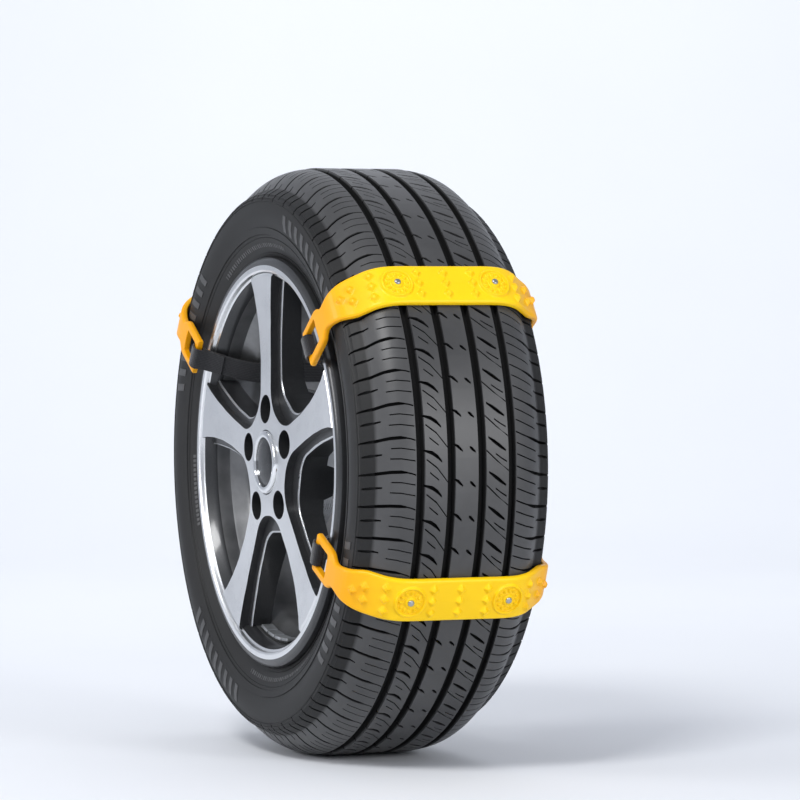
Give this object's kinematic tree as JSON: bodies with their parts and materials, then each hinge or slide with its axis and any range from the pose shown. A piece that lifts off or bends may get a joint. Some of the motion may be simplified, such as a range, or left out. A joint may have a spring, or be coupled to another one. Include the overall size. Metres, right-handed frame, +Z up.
{
  "type": "car wheel with anti-skid belts",
  "caption": "Passenger-car tyre on a spoked alloy wheel, dressed with moulded anti-skid belts that buckle through its windows.",
  "frame": {"origin": "the wheel's centre, on its axis and midway across the tyre", "axes": "+Y along the wheel's axis towards the car, so the side seen from outside faces -Y; +Z up"},
  "size_m": [0.632, 0.2406, 0.632],
  "materials": {
    "tyre_rubber": "matt black rubber",
    "wheel_alloy": "machined bright faces over dark grey sides",
    "cap_metal": "bright ring round a satin grey disc",
    "foam_tape": "matt black foam",
    "valve_rubber": "satin black rubber",
    "valve_brass": "turned brass",
    "cap_plastic": "satin black",
    "weight_zinc": "satin grey",
    "yellow_tpu": "bright yellow, soft gloss",
    "stud_steel": "ground steel",
    "webbing": "black woven nylon",
    "black_oxide": "black oxide, satin",
    "spring_steel": "drawn wire"
  },
  "bodies": {
    "wheel": {"tyre": "tyre_rubber", "alloy_wheel": "wheel_alloy", "centre_cap": "cap_metal", "cap_retaining_ring": "spring_steel", "weight_tape": "foam_tape", "valve_stem": "valve_rubber", "balance_weight_1": "weight_zinc", "balance_weight_2": "weight_zinc", "balance_weight_3": "weight_zinc", "balance_weight_4": "weight_zinc", "traction_pad_upper": "yellow_tpu", "stud_upper_outboard": "stud_steel", "stud_upper_inboard": "stud_steel", "long_strap_upper": "webbing", "tab_strap_upper": "webbing", "buckle_body_upper": "black_oxide", "pivot_pin_upper": "stud_steel", "cam_spring_upper": "spring_steel", "traction_pad_lower": "yellow_tpu", "stud_lower_outboard": "stud_steel", "stud_lower_inboard": "stud_steel", "long_strap_lower": "webbing", "tab_strap_lower": "webbing", "buckle_body_lower": "black_oxide", "pivot_pin_lower": "stud_steel", "cam_spring_lower": "spring_steel", "traction_pad_rear": "yellow_tpu", "stud_rear_outboard": "stud_steel", "stud_rear_inboard": "stud_steel", "long_strap_rear": "webbing", "tab_strap_rear": "webbing", "buckle_body_rear": "black_oxide", "pivot_pin_rear": "stud_steel", "cam_spring_rear": "spring_steel"},
    "cam_lever_upper": {"cam_lever_upper": "black_oxide"},
    "cam_lever_lower": {"cam_lever_lower": "black_oxide"},
    "cam_lever_rear": {"cam_lever_rear": "black_oxide"},
    "valve_core": {"valve_core_pin": "valve_brass"},
    "valve_cap": {"valve_cap": "cap_plastic"}
  },
  "joints": [
    {"name": "cam_hinge_upper", "type": "hinge", "parent": "wheel", "child": "cam_lever_upper", "pos_m": [0.1334, 0.047, 0.0987], "axis": [-0.5948, 0, 0.8039], "range_deg": [0, 80], "stiffness_Nm_per_rad": 0.04, "springref_deg": -45.84},
    {"name": "cam_hinge_lower", "type": "hinge", "parent": "wheel", "child": "cam_lever_lower", "pos_m": [0.1516, 0.047, -0.0675], "axis": [0.4067, 0, 0.9135], "range_deg": [0, 80], "stiffness_Nm_per_rad": 0.04, "springref_deg": -45.84},
    {"name": "cam_hinge_rear", "type": "hinge", "parent": "wheel", "child": "cam_lever_rear", "pos_m": [-0.1408, 0.047, 0.088], "axis": [-0.5299, 0, -0.848], "range_deg": [0, 80], "stiffness_Nm_per_rad": 0.04, "springref_deg": -45.84},
    {"name": "valve_pin_slide", "type": "slide", "parent": "wheel", "child": "valve_core", "axis": [0.741, 0.6587, -0.1307], "range_m": [0, 0.0015], "stiffness_N_per_m": 1500, "springref_m": -0.002},
    {"name": "valve_cap_turn", "type": "hinge", "parent": "wheel", "child": "valve_cap", "pos_m": [0.188, -0.0595, -0.0331], "axis": [-0.741, -0.6587, 0.1307], "range_deg": [0, 1440]}
  ]
}
